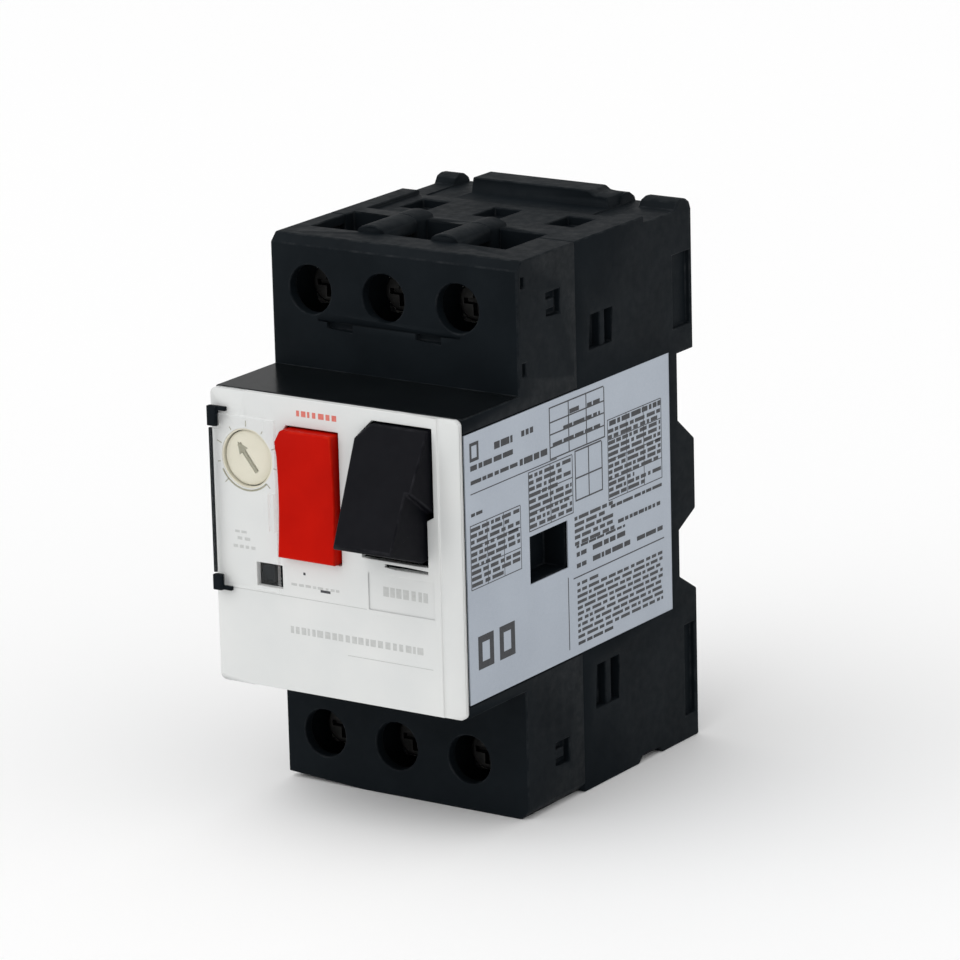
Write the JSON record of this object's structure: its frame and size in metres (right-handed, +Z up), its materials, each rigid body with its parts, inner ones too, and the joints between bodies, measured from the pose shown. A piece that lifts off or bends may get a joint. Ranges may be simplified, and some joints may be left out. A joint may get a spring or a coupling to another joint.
{
  "type": "motor protection circuit breaker",
  "caption": "Three-pole rail-mounted motor protection circuit breaker with start and stop push buttons, a setting dial under a clear flap and screw clamp terminals.",
  "frame": {"origin": "centre of the DIN-rail seat: middle of the width, on the rail seat face, on the rail's centre line", "axes": "+X to the right seen from the front, +Y into the panel (out of the back), +Z up along the case"},
  "size_m": [0.045, 0.0759, 0.089],
  "materials": {
    "case_black": "fine matt moulded thermoset",
    "cover_white": "satin light grey moulded cover",
    "start_black": "satin black button",
    "stop_red": "satin red button",
    "dial_cream": "cream setting dial",
    "flap_clear": "clear polycarbonate flap",
    "label_silver": "silver-grey printed film",
    "steel_zinc": "zinc-plated steel",
    "contact_copper": "copper strip",
    "bimetal_strip": "bimetal",
    "inner_plastic": "natural inner moulding"
  },
  "bodies": {
    "root": {"rear_housing": "case_black", "front_housing": "case_black", "fascia": "cover_white", "flap_hinge_upper": "start_black", "flap_hinge_lower": "start_black", "rating_label": "label_silver", "rail_latch_spring": "steel_zinc", "mechanism_plate": "steel_zinc", "start_spring": "steel_zinc", "stop_spring": "steel_zinc", "carrier_spring": "steel_zinc", "line_terminal_1": "contact_copper", "load_terminal_1": "contact_copper", "coil_terminal_1": "contact_copper", "arc_chute_1": "steel_zinc", "trip_coil_1": "contact_copper", "coil_bobbin_1": "inner_plastic", "bimetal_1": "bimetal_strip", "line_terminal_2": "contact_copper", "load_terminal_2": "contact_copper", "coil_terminal_2": "contact_copper", "arc_chute_2": "steel_zinc", "trip_coil_2": "contact_copper", "coil_bobbin_2": "inner_plastic", "bimetal_2": "bimetal_strip", "line_terminal_3": "contact_copper", "load_terminal_3": "contact_copper", "coil_terminal_3": "contact_copper", "arc_chute_3": "steel_zinc", "trip_coil_3": "contact_copper", "coil_bobbin_3": "inner_plastic", "bimetal_3": "bimetal_strip"},
    "start_button": {"start_button": "start_black"},
    "stop_button": {"stop_button": "stop_red"},
    "setting_dial": {"setting_dial": "dial_cream"},
    "dial_flap": {"dial_flap": "flap_clear"},
    "test_slider": {"test_slider": "case_black"},
    "rail_latch": {"rail_latch": "case_black"},
    "contact_carrier": {"contact_carrier": "inner_plastic", "contact_bridge_1": "contact_copper", "contact_bridge_2": "contact_copper", "contact_bridge_3": "contact_copper"},
    "trip_bar": {"trip_bar": "inner_plastic"},
    "drive_lever": {"drive_lever": "inner_plastic"},
    "adjusting_lever": {"adjusting_lever": "inner_plastic"},
    "trip_plunger_1": {"trip_plunger_1": "steel_zinc"},
    "trip_plunger_2": {"trip_plunger_2": "steel_zinc"},
    "trip_plunger_3": {"trip_plunger_3": "steel_zinc"},
    "line_clamp_1": {"line_clamp_1": "steel_zinc"},
    "line_screw_1": {"line_screw_1": "steel_zinc"},
    "line_clamp_2": {"line_clamp_2": "steel_zinc"},
    "line_screw_2": {"line_screw_2": "steel_zinc"},
    "line_clamp_3": {"line_clamp_3": "steel_zinc"},
    "line_screw_3": {"line_screw_3": "steel_zinc"},
    "load_clamp_1": {"load_clamp_1": "steel_zinc"},
    "load_screw_1": {"load_screw_1": "steel_zinc"},
    "load_clamp_2": {"load_clamp_2": "steel_zinc"},
    "load_screw_2": {"load_screw_2": "steel_zinc"},
    "load_clamp_3": {"load_clamp_3": "steel_zinc"},
    "load_screw_3": {"load_screw_3": "steel_zinc"}
  },
  "joints": [
    {"name": "start_press", "type": "hinge", "parent": "root", "child": "start_button", "pos_m": [0.0114, -0.0572, 0.0175], "axis": [1, 0, 0], "range_deg": [0, 18.2], "stiffness_Nm_per_rad": 0.03, "springref_deg": -17.19, "deforming": ["start_spring"]},
    {"name": "stop_press", "type": "slide", "parent": "root", "child": "stop_button", "axis": [0, 1, 0], "range_m": [0, 0.0025], "stiffness_N_per_m": 300, "springref_m": -0.002, "deforming": ["stop_spring"]},
    {"name": "dial_turn", "type": "hinge", "parent": "root", "child": "setting_dial", "pos_m": [-0.0161, -0.057, 0.011], "axis": [0, 1, 0], "range_deg": [-135, 135]},
    {"name": "flap_open", "type": "hinge", "parent": "root", "child": "dial_flap", "pos_m": [-0.022, -0.0627, 0.004], "axis": [0, 0, -1], "range_deg": [0, 110]},
    {"name": "test_slide", "type": "slide", "parent": "root", "child": "test_slider", "axis": [1, 0, 0], "range_m": [0, 0.0018], "stiffness_N_per_m": 200, "springref_m": -0.001},
    {"name": "rail_latch_slide", "type": "slide", "parent": "root", "child": "rail_latch", "axis": [0, 0, -1], "range_m": [0, 0.0035], "stiffness_N_per_m": 800, "springref_m": -0.002, "deforming": ["rail_latch_spring"]},
    {"name": "contact_close", "type": "slide", "parent": "root", "child": "contact_carrier", "axis": [0, 1, 0], "range_m": [0, 0.0027], "deforming": ["carrier_spring"]},
    {"name": "drive_lever_turn", "type": "hinge", "parent": "root", "child": "drive_lever", "pos_m": [0.011, -0.0481, -0.0115], "axis": [-1, 0, 0], "range_deg": [0, 8.5]},
    {"name": "trip_bar_turn", "type": "hinge", "parent": "root", "child": "trip_bar", "pos_m": [-0.0013, -0.043, -0.0005], "axis": [-1, 0, 0], "range_deg": [0, 21]},
    {"name": "adjusting_lever_turn", "type": "hinge", "parent": "root", "child": "adjusting_lever", "pos_m": [-0.0161, -0.05145, -0.0025], "axis": [0, 1, 0], "range_deg": [-9, 9]},
    {"name": "trip_plunger_1_lift", "type": "slide", "parent": "root", "child": "trip_plunger_1", "axis": [0, 0, 1], "range_m": [0, 0.002], "stiffness_N_per_m": 100, "springref_m": -0.001},
    {"name": "trip_plunger_2_lift", "type": "slide", "parent": "root", "child": "trip_plunger_2", "axis": [0, 0, 1], "range_m": [0, 0.002], "stiffness_N_per_m": 100, "springref_m": -0.001},
    {"name": "trip_plunger_3_lift", "type": "slide", "parent": "root", "child": "trip_plunger_3", "axis": [0, 0, 1], "range_m": [0, 0.002], "stiffness_N_per_m": 100, "springref_m": -0.001},
    {"name": "line_clamp_1_slide", "type": "slide", "parent": "root", "child": "line_clamp_1", "axis": [0, 1, 0], "range_m": [0, 0.0035]},
    {"name": "line_screw_1_turn", "type": "hinge", "parent": "line_clamp_1", "child": "line_screw_1", "pos_m": [-0.0153, -0.036, 0.0338], "axis": [0, 1, 0], "range_deg": [0, 1830]},
    {"name": "line_clamp_2_slide", "type": "slide", "parent": "root", "child": "line_clamp_2", "axis": [0, 1, 0], "range_m": [0, 0.0035]},
    {"name": "line_screw_2_turn", "type": "hinge", "parent": "line_clamp_2", "child": "line_screw_2", "pos_m": [-0.0018, -0.036, 0.0338], "axis": [0, 1, 0], "range_deg": [0, 1830]},
    {"name": "line_clamp_3_slide", "type": "slide", "parent": "root", "child": "line_clamp_3", "axis": [0, 1, 0], "range_m": [0, 0.0035]},
    {"name": "line_screw_3_turn", "type": "hinge", "parent": "line_clamp_3", "child": "line_screw_3", "pos_m": [0.0117, -0.036, 0.0338], "axis": [0, 1, 0], "range_deg": [0, 1830]},
    {"name": "load_clamp_1_slide", "type": "slide", "parent": "root", "child": "load_clamp_1", "axis": [0, 1, 0], "range_m": [0, 0.0035]},
    {"name": "load_screw_1_turn", "type": "hinge", "parent": "load_clamp_1", "child": "load_screw_1", "pos_m": [-0.0153, -0.036, -0.0373], "axis": [0, 1, 0], "range_deg": [0, 1830]},
    {"name": "load_clamp_2_slide", "type": "slide", "parent": "root", "child": "load_clamp_2", "axis": [0, 1, 0], "range_m": [0, 0.0035]},
    {"name": "load_screw_2_turn", "type": "hinge", "parent": "load_clamp_2", "child": "load_screw_2", "pos_m": [-0.0018, -0.036, -0.0373], "axis": [0, 1, 0], "range_deg": [0, 1830]},
    {"name": "load_clamp_3_slide", "type": "slide", "parent": "root", "child": "load_clamp_3", "axis": [0, 1, 0], "range_m": [0, 0.0035]},
    {"name": "load_screw_3_turn", "type": "hinge", "parent": "load_clamp_3", "child": "load_screw_3", "pos_m": [0.0117, -0.036, -0.0373], "axis": [0, 1, 0], "range_deg": [0, 1830]}
  ],
  "couplings": [
    {"joint": "start_press", "follows": "contact_close", "rad_per_m": 116.36},
    {"joint": "drive_lever_turn", "follows": "contact_close", "rad_per_m": 50.162},
    {"joint": "trip_bar_turn", "follows": "stop_press", "rad_per_m": 139.63},
    {"joint": "adjusting_lever_turn", "follows": "dial_turn", "ratio": 0.05926},
    {"joint": "line_screw_1_turn", "follows": "line_clamp_1_slide", "rad_per_m": 8976},
    {"joint": "line_screw_2_turn", "follows": "line_clamp_2_slide", "rad_per_m": 8976},
    {"joint": "line_screw_3_turn", "follows": "line_clamp_3_slide", "rad_per_m": 8976},
    {"joint": "load_screw_1_turn", "follows": "load_clamp_1_slide", "rad_per_m": 8976},
    {"joint": "load_screw_2_turn", "follows": "load_clamp_2_slide", "rad_per_m": 8976},
    {"joint": "load_screw_3_turn", "follows": "load_clamp_3_slide", "rad_per_m": 8976}
  ]
}
